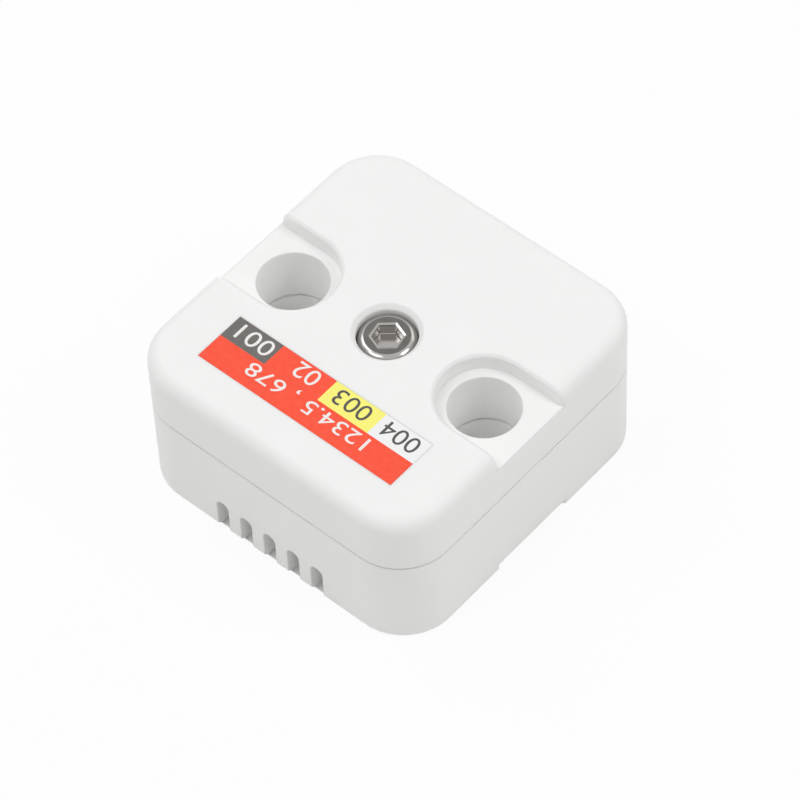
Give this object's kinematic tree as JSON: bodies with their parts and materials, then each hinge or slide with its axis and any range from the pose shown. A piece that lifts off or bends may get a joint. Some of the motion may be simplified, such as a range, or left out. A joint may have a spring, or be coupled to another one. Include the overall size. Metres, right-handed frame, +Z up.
{
  "type": "gas sensor module",
  "caption": "Small square clip-on gas sensor module: white shell case with pin holes in round-ended recesses, a case screw, a colour-coded port label, vent slots and a plug socket.",
  "frame": {"origin": "centre of the bounding box's bottom, on the front face that the module lies on", "axes": "+X along the line of pin holes, +Y from the vents towards the plug socket, +Z up, out of the rear mounting face"},
  "size_m": [0.0236, 0.024, 0.012],
  "materials": {
    "case_plastic": "matte white, fine moulded texture",
    "label_print": "printed label, satin",
    "screw_steel": "zinc plated, satin",
    "board_laminate": "solder mask, satin",
    "port_plastic": "moulded, satin",
    "plated_contact": "plated, bright",
    "tinned_metal": "tinned, satin",
    "moulded_package": "moulded, matte",
    "membrane": "porous film, matte",
    "capacitor_ceramic": "ceramic, satin",
    "resistor_coating": "coated, satin"
  },
  "bodies": {
    "root": {"rear_shell": "case_plastic", "front_shell": "case_plastic", "case_screw": "screw_steel", "port_label": "label_print", "circuit_board": "board_laminate", "port_housing": "port_plastic", "port_solder_tab_left": "tinned_metal", "port_solder_tab_right": "tinned_metal", "port_contact_1": "plated_contact", "port_contact_2": "plated_contact", "port_contact_3": "plated_contact", "port_contact_4": "plated_contact", "gas_sensor_package": "moulded_package", "gas_sensor_membrane": "membrane", "gas_sensor_pads": "tinned_metal", "voltage_regulator": "moulded_package", "voltage_regulator_leads": "tinned_metal", "level_shift_transistor_clock": "moulded_package", "level_shift_transistor_data": "moulded_package", "transistor_leads": "tinned_metal", "input_capacitor": "capacitor_ceramic", "output_capacitor": "capacitor_ceramic", "sensor_capacitor": "capacitor_ceramic", "pull_up_resistors": "resistor_coating", "chip_end_caps": "tinned_metal"}
  },
  "joints": []
}
